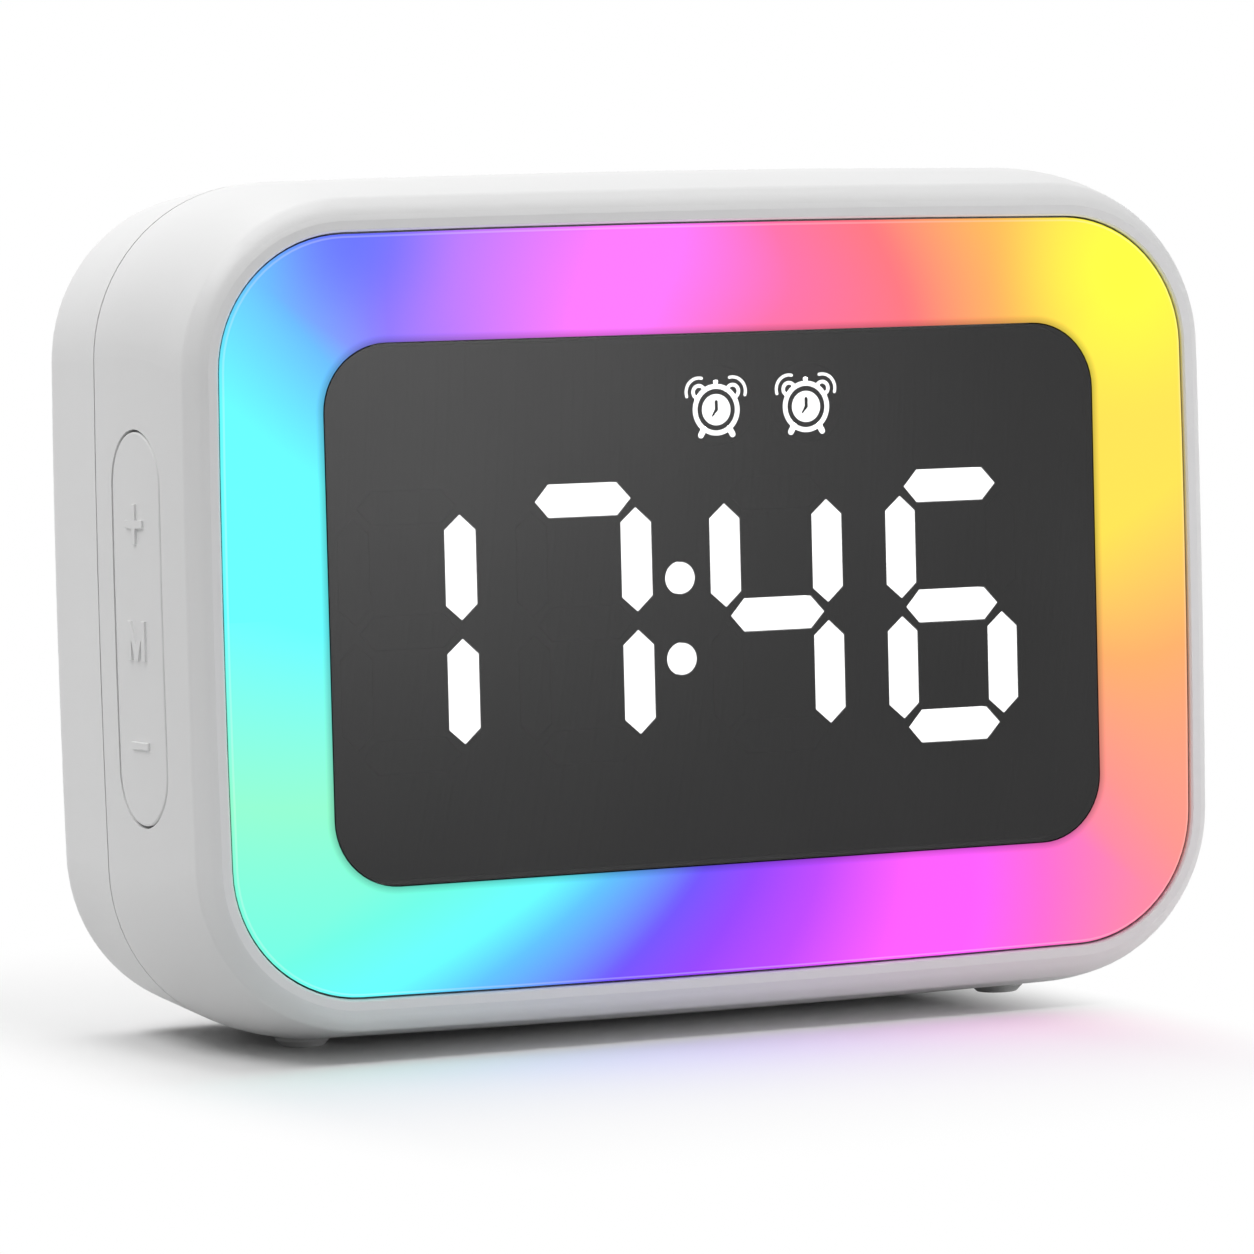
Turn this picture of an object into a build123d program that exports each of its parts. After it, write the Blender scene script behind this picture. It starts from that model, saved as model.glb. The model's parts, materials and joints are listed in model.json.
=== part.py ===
from build123d import *
import os

os.makedirs("parts", exist_ok=True)

# Speaker clock, in millimetres: +Z is up, the display faces -Y, and the origin lies on the
# standing surface under the middle of the body. A depth is counted back from the front rim,
# a rise up from the middle of the display.

# Body shells
body_width = 139.0
body_height = 103.0
body_depth = 49.5
body_corner = 21.0
body_bow = 0.8
parting_share = 0.5455
parting_groove = 0.3
front_inset = 2.0
front_drop = 2.2
front_corner_trim = 0.5
front_bow = 0.5
swell_inset = 0.7
swell_drop = 0.35
swell_share = 0.4815
back_inset = 1.2
back_drop = 1.3
back_corner_trim = 1.0
back_rounding = 6.0
bevel_depth = 3.0
bevel_shoulder_share = 0.5
bevel_lead_share = 0.12
bevel_round_share = 0.1
bevel_steps = 3
wall_round_share = 0.02
rim_width = 1.5
wall = 2.4
tongue_wall = 1.2
tongue_reach = 1.8
tongue_root = 3.0
foot_lift = 1.0

# Clearances and cutting
cut_overrun = 1.0
slip_gap = 0.15
panel_gap = 0.22
cell_gap = 0.1
screw_gap = 0.05

# Light panel, display window and the ledge that carries the panel
panel_inset = 5.65
panel_drop = 6.45
panel_corner_trim = 5.0
panel_bow = 0.6
panel_thickness = 3.2
panel_edge = 0.7
pocket_edge = 0.25
border_width = 13.05
border_height = 13.25
window_corner = 8.0
lens_thickness = 1.2
ledge_width = 6.8
ledge_thickness = 2.0
ledge_corner_trim = 4.5

# Front board with its light box and reflector
front_board_share = 0.2424
board_thickness = 1.6
board_margin = 0.3
ear_radius = 2.6
ear_inset = 29.5
ear_drop = 7.2
ear_post_radius = 2.1
box_inset = 0.2
box_drop = 0.5
box_corner = 7.5
frame_overlap = 1.1
frame_wall = 1.5
frame_floor = 1.0
ring_led_size = 3.5
ring_led_height = 1.5
ring_led_columns = 9
ring_led_rows = 4
ring_led_inset_share = 0.611
segment_led_size = 1.6
segment_led_height = 0.8

# Seven-segment digits: places and spacing as shares of the window's half width and half height
flat_gap = 1.3
upright_gap = 2.3
segment_width = 3.9
segment_tip = 1.8
segment_thickness = 1.5
segment_pitch_share = 0.4613
column_pitch_share = 0.2693
digit_rise_share = -0.068
digit_centre_shares = (-0.794, -0.3445, 0.1555, 0.6215)
lit_letters = ("bc", "abc", "bcfg", "acdefg")
colon_share = -0.0985
colon_radius = 1.9
colon_pitch_share = 0.3052
icon_shares = (0.0067, 0.2431)
icon_rise_share = 0.728
icon_radius = 4.8

# Key strip in the left wall, with its switches
key_length_share = 0.4515
key_width_share = 0.474
key_depth_share = 0.5704
key_drop = 1.1
key_gap = 0.3
key_seat_inset = 3.0
key_clearance = 0.2
key_lip = 1.5
key_lip_thickness = 1.0
key_edge = 0.25
key_travel = 0.3
key_pitch_share = 0.2817
mark_drop = 0.9
nub_radius = 1.6
nub_length = 1.4
plunger_radius = 0.9
plunger_length = 1.4
plunger_reach = 1.0
plunger_gap = 0.1
switch_size = 4.5
switch_height = 1.8
switch_bore_gap = 0.1
key_board_thickness = 1.2
key_board_end = 2.25
key_board_side = 0.1
rail_width = 3.0
rail_thickness = 3.4
rail_groove = 1.5

# Screws: rear cover, boards and speaker
post_corner_gap = 5.3
post_radius = 3.1
post_board_gap = 1.9
diagonal_share = 0.7071
web_width = 2.0
web_sink = 0.4
web_tongue_gap = 3.0
cover_screw_radius = 1.3
cover_screw_head_radius = 2.4
cover_screw_head_height = 1.8
cover_screw_sink = 4.5
cover_screw_tip_gap = 2.3
cover_bore_radius = 2.7
board_screw_radius = 0.9
board_screw_head_radius = 1.7
board_screw_head_height = 1.2
board_screw_length = 5.5

# Loudspeaker, facing the rear grille
speaker_rise = 9.0
speaker_seat_height = 2.0
speaker_radius = 26.6
speaker_rim = 4.6
gasket_thickness = 0.8
surround_rim = 0.4
surround_roll = 1.0
flange_thickness = 1.0
basket_share = 0.2222
basket_throat = 14.0
basket_skin = 1.0
basket_bore = 8.0
basket_window_width = 14.0
basket_window_share = 0.545
radius_lean = 34.0
top_plate_thickness = 2.5
top_plate_bore = 7.1
magnet_radius = 16.0
magnet_bore = 9.0
magnet_share = 0.1414
yoke_thickness = 2.5
pole_radius = 5.6
coil_inner_radius = 6.1
coil_skin = 0.25
winding_skin = 0.35
winding_length = 4.5
coil_overhang = 2.7
cone_inset = 4.0
cone_skin = 0.6
cone_rise_share = 0.6
cone_flex_gap = 0.3
cone_lag = 0.9
dust_cap_radius = 7.6
dust_cap_rise = 2.4
dust_cap_skin = 0.5
spider_skin = 0.4
spider_wave = 1.0
spider_rim = 2.3
speaker_screw_inset = 1.8
speaker_screw_count = 4
speaker_screw_length = 4.6
grille_lap = 2.0
grille_thickness = 1.2
grille_hole_radius = 1.4
grille_ring_share = 0.1917
grille_rings = 4
grille_first_ring = 6

# Main board on the rear cover, with the power socket
main_board_width = 62.0
main_board_height = 22.0
main_board_sink = 10.5
main_board_drop = 17.0
standoff_radius = 2.4
standoff_inset = 4.0
usb_width = 8.94
usb_height = 3.26
usb_skin = 0.3
usb_recess = 0.6
usb_cavity = 6.2
usb_tongue_width = 6.7
usb_tongue_height = 0.7
usb_tongue_length = 4.6
processor_size = 7.0
processor_height = 0.9
amplifier_width = 5.0
amplifier_length = 6.2
amplifier_height = 1.4
module_width = 12.0
module_length = 15.0
module_height = 2.2
capacitor_radius = 3.15
capacitor_height = 7.4
connector_width = 6.0
connector_length = 4.5
connector_height = 5.0
chip_shares = {"processor": 0.05, "amplifier": -0.25, "module": 0.5}
capacitor_share = -0.53
capacitor_gap = 0.5
connector_shares = (-0.2, 0.1)
connector_offset = 7.5

# Battery
cell_radius = 9.2
holder_post_gap = 0.6
cell_cap_radius = 2.7
cell_cap_height = 1.0
cell_gap_round = 0.3
cell_gap_end = 0.5
holder_wall = 1.0
holder_floor = 1.2

# Feet
foot_radius = 3.3
foot_edge = 0.8
foot_round = 0.3
foot_inset = 22.3
rear_foot_inset = 29.5
front_foot_share = 0.796
rear_foot_share = 0.533
foot_socket = 1.2

# Places worked out from the sizes above
centre_height = foot_lift + body_height / 2
front_corner = body_corner - front_corner_trim
back_corner = body_corner - back_corner_trim
panel_corner = body_corner - panel_corner_trim
ledge_corner = panel_corner - ledge_corner_trim
front_width = body_width - 2 * front_inset
front_height = body_height - 2 * front_drop
swell_width = body_width - 2 * swell_inset
swell_height = body_height - 2 * swell_drop
back_width = body_width - 2 * back_inset
back_height = body_height - 2 * back_drop
panel_width = body_width - 2 * panel_inset
panel_height = body_height - 2 * panel_drop
window_width = panel_width - 2 * border_width
window_height = panel_height - 2 * border_height
box_width = window_width - 2 * box_inset
box_height = window_height - 2 * box_drop
parting_depth = parting_share * body_depth
swell_depth = swell_share * parting_depth
front_board_depth = front_board_share * body_depth
cover_front = parting_depth + parting_groove
cover_inner = body_depth - wall
ledge_back = panel_thickness + ledge_thickness
ledge_opening_width = panel_width - 2 * ledge_width
ledge_opening_height = panel_height - 2 * ledge_width
frame_width = ledge_opening_width + 2 * frame_overlap
frame_height = ledge_opening_height + 2 * frame_overlap
frame_corner = ledge_corner + frame_overlap
sleeve_width = box_width + 2 * board_margin
sleeve_height = box_height + 2 * board_margin
sleeve_corner = box_corner + board_margin
led_reach_x = (frame_width / 2 - frame_wall + sleeve_width / 2 + frame_wall) / 2
led_reach_rise = (frame_height / 2 - frame_wall + sleeve_height / 2 + frame_wall) / 2
front_board_back = front_board_depth + board_thickness
half_window = window_width / 2
half_window_height = window_height / 2
column_pitch = column_pitch_share * half_window
segment_pitch = segment_pitch_share * half_window_height
digit_rise = digit_rise_share * half_window_height
colon_pitch = colon_pitch_share * half_window_height
icon_rise = icon_rise_share * half_window_height
key_rise = -key_drop
key_length = key_length_share * body_height
key_width = key_width_share * parting_depth
key_depth = key_depth_share * parting_depth
key_pitch = key_pitch_share * key_length
key_board_length = key_length - 2 * key_board_end
key_board_width = key_width + 2 * key_board_side
rail_length = key_depth + key_board_width / 2 + slip_gap - ledge_back
key_height = centre_height + key_rise
key_seat = key_seat_inset - body_width / 2
key_lip_outer = key_seat + key_clearance
key_lip_inner = key_lip_outer + key_lip_thickness
nub_tip = key_lip_inner + nub_length
plunger_tip = nub_tip + plunger_gap
switch_face = plunger_tip + plunger_reach
key_board_face = switch_face + switch_height
key_places = {"plus": key_pitch - mark_drop, "mode": -mark_drop, "minus": -key_pitch - mark_drop}
speaker_opening = speaker_radius - speaker_rim
speaker_screw_reach = speaker_radius - speaker_screw_inset
cone_radius = speaker_opening - cone_inset
grille_radius = speaker_opening + grille_lap
grille_ring_pitch = grille_ring_share * grille_radius
basket_depth = basket_share * body_depth
magnet_thickness = magnet_share * body_depth
basket_window_depth = basket_window_share * basket_depth
cone_rise = cone_rise_share * basket_depth
gasket_back = cover_inner - speaker_seat_height
surround_back = gasket_back - gasket_thickness
flange_back = surround_back - surround_rim
flange_front = flange_back - flange_thickness
basket_floor = flange_front - basket_depth
top_plate_front = basket_floor - top_plate_thickness
magnet_front = top_plate_front - magnet_thickness
yoke_front = magnet_front - yoke_thickness
pole_end = basket_floor
coil_outer_radius = coil_inner_radius + coil_skin
winding_radius = coil_outer_radius + winding_skin
cone_edge_depth = flange_back - cone_lag
cone_neck_depth = cone_edge_depth - cone_rise
main_board_depth = body_depth - main_board_sink
main_board_rise = main_board_drop - body_height / 2
main_board_back = main_board_depth + board_thickness
usb_mouth = body_depth - usb_recess
post_reach = body_corner - wall - post_radius - post_corner_gap
post_x = body_width / 2 - body_corner + diagonal_share * post_reach
post_rise = body_height / 2 - body_corner + diagonal_share * post_reach
web_length = body_corner - wall / 2 - web_sink - post_reach
holder_length = 2 * (post_rise - post_radius - holder_post_gap)
cell_length = holder_length - 2 * holder_wall - 2 * cell_gap_end - cell_cap_height
cell_x = -(speaker_radius + wall / 2 + body_width / 2 - wall) / 2
cell_depth = cover_inner - holder_floor - cell_gap_round - cell_radius
foot_x = body_width / 2 - foot_inset
rear_foot_x = body_width / 2 - rear_foot_inset
front_foot_depth = front_foot_share * parting_depth
rear_foot_depth = parting_depth + rear_foot_share * (body_depth - parting_depth)
foot_places = {
    "front_left": (-foot_x, front_foot_depth),
    "front_right": (foot_x, front_foot_depth),
    "rear_left": (-rear_foot_x, rear_foot_depth),
    "rear_right": (rear_foot_x, rear_foot_depth),
}
front_foot_seat = foot_lift + body_bow + foot_socket
rear_foot_seat = front_foot_seat + (body_height - back_height) / 4
post_depth = front_board_back + post_board_gap
web_end = parting_depth - web_tongue_gap
cover_screw_seat = body_depth - cover_screw_sink
cover_screw_length = cover_screw_seat - post_depth - wall / 2 - cover_screw_tip_gap
ear_x = body_width / 2 - ear_inset
ear_rise = body_height / 2 - ear_drop
post_places = [(x, rise) for x in (-post_x, post_x) for rise in (-post_rise, post_rise)]
ear_places = [(x, rise) for x in (-ear_x, ear_x) for rise in (-ear_rise, ear_rise)]
standoff_x = main_board_width / 2 - standoff_inset
standoff_offset = main_board_height / 2 - standoff_inset
standoff_places = [
    (x, main_board_rise + offset)
    for x in (-standoff_x, standoff_x)
    for offset in (-standoff_offset, standoff_offset)
]


def write(piece, label):
    piece.part.label = label
    export_step(piece.part, f"parts/{label}.step")


def front_plane(depth, x=0, rise=0):
    # Faces the viewer at a depth behind the rim.
    return Plane((x, depth - body_depth / 2, centre_height + rise), x_dir=(1, 0, 0), z_dir=(0, -1, 0))


def side_plane(x):
    # Faces the left side, centred on the key strip.
    return Plane((x, key_depth - body_depth / 2, key_height), x_dir=(0, -1, 0), z_dir=(-1, 0, 0))


def floor_plane(height, x=0, depth=0):
    return Plane((x, depth - body_depth / 2, height))


def depth_axis(x, rise):
    return Axis((x, 0, centre_height + rise), (0, 1, 0))


def bowed_outline(depth, width, height, corner, bow):
    # Rounded rectangle whose four sides swell by the bow at their middles.
    side = width / 2 - bow
    top = height / 2 - bow
    with BuildSketch(front_plane(depth)) as outline:
        with BuildLine():
            ThreePointArc((-side, -top), (0, -top - bow), (side, -top))
            ThreePointArc((side, -top), (side + bow, 0), (side, top))
            ThreePointArc((side, top), (0, top + bow), (-side, top))
            ThreePointArc((-side, top), (-side - bow, 0), (-side, -top))
        make_face()
        fillet(outline.vertices(), corner)
    return outline.sketch


def rounded_outline(depth, width, height, corner, x=0, rise=0):
    with BuildSketch(front_plane(depth, x, rise)) as outline:
        RectangleRounded(width, height, corner)
    return outline.sketch


def plain_outline(depth, width, height, x=0, rise=0):
    with BuildSketch(front_plane(depth, x, rise)) as outline:
        Rectangle(width, height)
    return outline.sketch


def discs(depth, radius, places):
    with BuildSketch(front_plane(depth)) as outline:
        with Locations(*places):
            Circle(radius)
    return outline.sketch


def key_slot(x, growth):
    with BuildSketch(side_plane(x)) as outline:
        SlotOverall(key_length + 2 * growth, key_width + 2 * growth, rotation=90)
    return outline.sketch


def key_discs(x, radius, places):
    with BuildSketch(side_plane(x)) as outline:
        with Locations(*[(0, place) for place in places]):
            Circle(radius)
    return outline.sketch


def axial_plane(x, rise):
    # Its first direction is the depth and its second a radius that clears the basket's windows and screws.
    facing = Vector(1, 0, 0).rotate(Axis.Y, radius_lean)
    return Plane((x, -body_depth / 2, centre_height + rise), x_dir=(0, 1, 0), z_dir=facing)


def axial_profile(x, rise, points):
    with BuildSketch(axial_plane(x, rise)) as profile:
        with BuildLine():
            Polyline(*points, close=True)
        make_face()
    return profile.sketch


def turn(points, x=0, rise=speaker_rise, mode=Mode.ADD):
    revolve(axial_profile(x, rise, points).faces(), axis=depth_axis(x, rise), mode=mode)


def speaker_holes(depth, growth):
    with BuildSketch(front_plane(depth, rise=speaker_rise)) as outline:
        with PolarLocations(speaker_screw_reach, speaker_screw_count, start_angle=45):
            Circle(board_screw_radius + growth)
    return outline.sketch


def ring_points(front, back, inner, outer):
    return [(front, inner), (front, outer), (back, outer), (back, inner)]


def screw_points(seat, head_radius, head_height, radius, reach):
    # The shank points the way of the reach's sign, the head lies on the other side of its seat.
    head_end = seat - head_height if reach > 0 else seat + head_height
    end = seat + reach
    return [
        (head_end, 0), (head_end, head_radius), (seat, head_radius),
        (seat, radius), (end, radius), (end, 0),
    ]


def between(start, end, share):
    return [first + share * (second - first) for first, second in zip(start, end)]


def housing_skin():
    # The bevel rolls from the flat rim to a softly rounded edge, then the walls swell to the parting line.
    panel_rim_width = panel_width + 2 * rim_width
    panel_rim_height = panel_height + 2 * rim_width
    rim = (0, panel_rim_width, panel_rim_height, panel_corner + rim_width, panel_bow)
    edge = (bevel_depth, front_width, front_height, front_corner, front_bow)
    swell = (swell_depth, swell_width, swell_height, front_corner, body_bow)
    parting = (parting_depth, body_width, body_height, body_corner, body_bow)
    shoulder = (bevel_lead_share * bevel_depth, *between(rim, edge, bevel_shoulder_share)[1:])
    roll_shares = [(1 - bevel_round_share) * step / bevel_steps for step in range(bevel_steps + 1)]
    roll = []
    for share in roll_shares:
        roll.append(between(between(rim, shoulder, share), between(shoulder, edge, share), share))
    edge_front = roll[-1]
    edge_back = between(edge, swell, wall_round_share)
    edge_crest = between(between(edge_front, edge_back, 1 / 2), edge, 1 / 2)
    loft([bowed_outline(*section) for section in (edge_back, swell, parting)])
    loft([bowed_outline(*section) for section in (edge_front, edge_crest, edge_back)])
    loft([bowed_outline(*section) for section in roll])


def segment_places(centre):
    # Middle of each of the seven segments, and whether it lies flat or stands.
    half = column_pitch / 2
    return {
        "a": (centre, digit_rise + segment_pitch, 0),
        "b": (centre + half, digit_rise + segment_pitch / 2, 90),
        "c": (centre + half, digit_rise - segment_pitch / 2, 90),
        "d": (centre, digit_rise - segment_pitch, 0),
        "e": (centre - half, digit_rise - segment_pitch / 2, 90),
        "f": (centre - half, digit_rise + segment_pitch / 2, 90),
        "g": (centre, digit_rise, 0),
    }


def segment_outlines(depth, growth, chosen):
    # Pointed bars at the chosen places, widened by the growth on each side.
    side = segment_width / 2 + growth
    with BuildSketch(front_plane(depth)) as outline:
        for x, rise, turned in chosen:
            length = segment_pitch - upright_gap if turned else column_pitch - flat_gap
            half = length / 2 + growth
            shoulder = half - segment_tip
            with Locations(Location((x, rise, 0), (0, 0, turned))):
                Polygon(
                    (-half, 0), (-shoulder, -side), (shoulder, -side),
                    (half, 0), (shoulder, side), (-shoulder, side),
                    align=None,
                )
    return outline.sketch


lit_places = []
unlit_places = []
for share, letters in zip(digit_centre_shares, lit_letters):
    for letter, place in segment_places(share * half_window).items():
        if letter in letters:
            lit_places.append(place)
        else:
            unlit_places.append(place)
colon_places = [
    (colon_share * half_window, digit_rise + offset) for offset in (-colon_pitch / 2, colon_pitch / 2)
]
icon_places = [(share * half_window, icon_rise) for share in icon_shares]
row_reach = led_reach_x - ring_led_inset_share * frame_corner
row_step = 2 * row_reach / (ring_led_columns - 1)
column_step = 2 * led_reach_rise / (ring_led_rows + 1)
ring_led_places = [
    (row_step * index - row_reach, rise)
    for index in range(ring_led_columns)
    for rise in (-led_reach_rise, led_reach_rise)
]
ring_led_places += [
    (x, column_step * (index + 1) - led_reach_rise)
    for index in range(ring_led_rows)
    for x in (-led_reach_x, led_reach_x)
]

# Front housing: swelling walls, panel pocket, ledge, posts, key opening and foot sockets
with BuildPart() as housing:
    housing_skin()
    cavity_front = bowed_outline(
        ledge_back, front_width - 2 * wall, front_height - 2 * wall, front_corner - wall, front_bow
    )
    cavity_middle = bowed_outline(
        swell_depth, swell_width - 2 * wall, swell_height - 2 * wall, front_corner - wall, body_bow
    )
    cavity_back = bowed_outline(
        parting_depth, body_width - 2 * wall, body_height - 2 * wall, body_corner - wall, body_bow
    )
    loft([cavity_front, cavity_middle, cavity_back], mode=Mode.SUBTRACT)
    pocket = bowed_outline(
        panel_thickness, panel_width + 2 * panel_gap, panel_height + 2 * panel_gap,
        panel_corner + panel_gap, panel_bow,
    )
    extrude(pocket, amount=panel_thickness + cut_overrun, mode=Mode.SUBTRACT)
    pocket_mouth = []
    for depth, reach in ((pocket_edge, panel_gap), (0, panel_gap + pocket_edge)):
        pocket_mouth.append(bowed_outline(
            depth, panel_width + 2 * reach, panel_height + 2 * reach, panel_corner + reach, panel_bow
        ))
    loft(pocket_mouth, mode=Mode.SUBTRACT)
    opening = rounded_outline(
        ledge_back + cut_overrun, ledge_opening_width, ledge_opening_height, ledge_corner
    )
    extrude(opening, amount=ledge_thickness + 2 * cut_overrun, mode=Mode.SUBTRACT)
    extrude(discs(front_board_depth, ear_post_radius, ear_places), amount=front_board_depth - ledge_back)
    ear_bores = discs(front_board_depth, board_screw_radius + screw_gap, ear_places)
    extrude(ear_bores, amount=board_screw_length, mode=Mode.SUBTRACT)
    extrude(discs(parting_depth, post_radius, post_places), amount=parting_depth - post_depth)
    for x, rise in post_places:
        lean = 45 if x * rise > 0 else -45
        outward = web_length / 2 if x > 0 else -web_length / 2
        with BuildSketch(front_plane(web_end, x, rise)) as web:
            with Locations(Location((0, 0, 0), (0, 0, lean))):
                with Locations((outward, 0)):
                    Rectangle(web_length, web_width)
        extrude(web.sketch, amount=web_end - post_depth)
    post_bores = discs(parting_depth, cover_screw_radius + screw_gap, post_places)
    extrude(post_bores, amount=parting_depth - post_depth - wall / 2, mode=Mode.SUBTRACT)
    rail_offset = key_board_length / 2
    for direction in (-1, 1):
        rail_rise = key_rise + direction * (rail_offset - rail_groove + rail_width / 2)
        rail_x = key_board_face + key_board_thickness / 2
        rail = plain_outline(ledge_back + rail_length, rail_thickness, rail_width, rail_x, rail_rise)
        extrude(rail, amount=rail_length)
        groove_width = key_board_thickness + 2 * slip_gap
        groove = plain_outline(
            ledge_back + rail_length, groove_width, 2 * (rail_groove + slip_gap), rail_x,
            key_rise + direction * (rail_offset - rail_groove),
        )
        extrude(groove, amount=rail_length, mode=Mode.SUBTRACT)
    extrude(key_slot(key_seat + cut_overrun, key_gap), amount=body_width / 4, mode=Mode.SUBTRACT)
    seat_cut = key_slot(key_seat + key_lip_thickness + nub_length, key_lip + key_gap)
    extrude(seat_cut, amount=key_lip_thickness + nub_length, mode=Mode.SUBTRACT)
    for x in (-foot_x, foot_x):
        with BuildSketch(floor_plane(0, x, front_foot_depth)) as socket:
            Circle(foot_radius + cell_gap)
        extrude(socket.sketch, amount=front_foot_seat, mode=Mode.SUBTRACT)
write(housing, "housing")

# Rear cover: tapering shell with a tongue, grille seat, socket slot, posts and standoffs
with BuildPart() as cover_cavity:
    cavity_mouth = bowed_outline(
        cover_front, body_width - 2 * wall, body_height - 2 * wall, body_corner - wall, body_bow
    )
    cavity_end = bowed_outline(
        cover_inner, back_width - 2 * wall, back_height - 2 * wall, back_corner - wall, body_bow
    )
    loft([cavity_mouth, cavity_end])
    fillet(cover_cavity.faces().sort_by(Axis.Y)[-1].edges(), back_rounding - wall)

with BuildPart() as rear_cover:
    cover_mouth = bowed_outline(cover_front, body_width, body_height, body_corner, body_bow)
    cover_back = bowed_outline(body_depth, back_width, back_height, back_corner, body_bow)
    loft([cover_mouth, cover_back])
    fillet(rear_cover.faces().sort_by(Axis.Y)[-1].edges(), back_rounding)
    add(cover_cavity.part, mode=Mode.SUBTRACT)
    tongue_inset = 2 * (wall + slip_gap)
    tongue_width = body_width - tongue_inset
    tongue_height = body_height - tongue_inset
    tongue_corner = body_corner - tongue_inset / 2
    tongue_back = cover_front + tongue_root
    collar = bowed_outline(
        tongue_back, body_width - wall, body_height - wall, body_corner - wall / 2, body_bow
    )
    extrude(collar, amount=tongue_root)
    tongue = bowed_outline(tongue_back, tongue_width, tongue_height, tongue_corner, body_bow)
    extrude(tongue, amount=tongue_root + parting_groove + tongue_reach)
    mouth = bowed_outline(
        tongue_back, tongue_width - 2 * tongue_wall, tongue_height - 2 * tongue_wall,
        tongue_corner - tongue_wall, body_bow,
    )
    extrude(mouth, amount=tongue_root + parting_groove + tongue_reach, mode=Mode.SUBTRACT)
    turn(ring_points(gasket_back, cover_inner + wall / 2, speaker_opening, speaker_radius + wall / 2))
    cut_end = body_depth + cut_overrun
    turn(ring_points(gasket_back - cut_overrun, cut_end, 0, speaker_opening), mode=Mode.SUBTRACT)
    turn(ring_points(body_depth - grille_thickness, cut_end, 0, grille_radius), mode=Mode.SUBTRACT)
    speaker_bore_depth = flange_front + speaker_screw_length + panel_gap - gasket_back
    extrude(speaker_holes(gasket_back, screw_gap), amount=-speaker_bore_depth, mode=Mode.SUBTRACT)
    post_root = cover_inner + wall / 2
    extrude(discs(post_root, post_radius, post_places), amount=post_root - cover_front)
    post_holes = discs(body_depth, cover_screw_radius + slip_gap, post_places)
    extrude(post_holes, amount=body_depth - cover_front + cut_overrun, mode=Mode.SUBTRACT)
    head_bores = discs(body_depth, cover_bore_radius, post_places)
    extrude(head_bores, amount=body_depth - cover_screw_seat, mode=Mode.SUBTRACT)
    standoffs = discs(post_root, standoff_radius, standoff_places)
    extrude(standoffs, amount=post_root - main_board_back)
    standoff_bores = discs(main_board_back, board_screw_radius + screw_gap, standoff_places)
    extrude(standoff_bores, amount=-board_screw_length, mode=Mode.SUBTRACT)
    with BuildSketch(front_plane(body_depth + cut_overrun, rise=main_board_rise)) as socket_slot:
        SlotOverall(usb_width + 2 * panel_gap, usb_height + 2 * panel_gap)
    extrude(socket_slot.sketch, amount=wall + 2 * cut_overrun, mode=Mode.SUBTRACT)
    for x in (-rear_foot_x, rear_foot_x):
        with BuildSketch(floor_plane(0, x, rear_foot_depth)) as socket:
            Circle(foot_radius + cell_gap)
        extrude(socket.sketch, amount=rear_foot_seat, mode=Mode.SUBTRACT)
write(rear_cover, "rear_cover")

# Perforated grille disc, flush with the back
with BuildPart() as speaker_grille:
    turn(ring_points(body_depth - grille_thickness, body_depth, 0, grille_radius - slip_gap))
    with BuildSketch(front_plane(body_depth, rise=speaker_rise)) as grille_holes:
        Circle(grille_hole_radius)
        for ring in range(1, grille_rings + 1):
            with PolarLocations(ring * grille_ring_pitch, ring * grille_first_ring):
                Circle(grille_hole_radius)
    extrude(grille_holes.sketch, amount=grille_thickness, mode=Mode.SUBTRACT)
write(speaker_grille, "speaker_grille")

# Rubber feet glued into their sockets
for corner, (x, depth) in foot_places.items():
    seat = front_foot_seat if depth == front_foot_depth else rear_foot_seat
    with BuildPart() as foot:
        with BuildSketch(floor_plane(0, x, depth)):
            Circle(foot_radius)
        extrude(amount=seat)
        chamfer(foot.edges().sort_by(Axis.Z)[0], foot_edge)
        fillet(foot.edges().sort_by(Axis.Z)[0], foot_round)
    write(foot, f"foot_{corner}")

# Milky light panel with an opening for the window
with BuildPart() as light_panel:
    extrude(
        bowed_outline(panel_thickness, panel_width, panel_height, panel_corner, panel_bow),
        amount=panel_thickness,
    )
    fillet(light_panel.faces().sort_by(Axis.Y)[0].edges(), panel_edge)
    window_cut = rounded_outline(
        panel_thickness, window_width + 2 * slip_gap, window_height + 2 * slip_gap, window_corner + slip_gap
    )
    extrude(window_cut, amount=panel_thickness, mode=Mode.SUBTRACT)
write(light_panel, "light_panel")

# Smoked lens, glued on the light box
with BuildPart() as display_lens:
    lens_outline = rounded_outline(lens_thickness, window_width, window_height, window_corner)
    extrude(lens_outline, amount=lens_thickness)
write(display_lens, "display_lens")

# Light box with a cell behind each segment, dot and icon
with BuildPart() as light_box:
    box_depth = front_board_depth - lens_thickness
    extrude(rounded_outline(front_board_depth, box_width, box_height, box_corner), amount=box_depth)
    extrude(
        segment_outlines(front_board_depth, cell_gap, lit_places + unlit_places),
        amount=box_depth, mode=Mode.SUBTRACT,
    )
    dot_cells = discs(front_board_depth, colon_radius + cell_gap, colon_places)
    extrude(dot_cells, amount=box_depth, mode=Mode.SUBTRACT)
    icon_cells = discs(front_board_depth, icon_radius + cell_gap, icon_places)
    extrude(icon_cells, amount=box_depth, mode=Mode.SUBTRACT)
write(light_box, "light_box")

# Milky inserts in the front of the cells
insert_back = lens_thickness + segment_thickness
with BuildPart() as lit_segments:
    extrude(segment_outlines(insert_back, 0, lit_places), amount=segment_thickness)
    extrude(discs(insert_back, colon_radius, colon_places), amount=segment_thickness)
write(lit_segments, "lit_segments")

with BuildPart() as unlit_segments:
    extrude(segment_outlines(insert_back, 0, unlit_places), amount=segment_thickness)
write(unlit_segments, "unlit_segments")

with BuildPart() as icon_inserts:
    extrude(discs(insert_back, icon_radius, icon_places), amount=segment_thickness)
write(icon_inserts, "icon_inserts")

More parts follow.
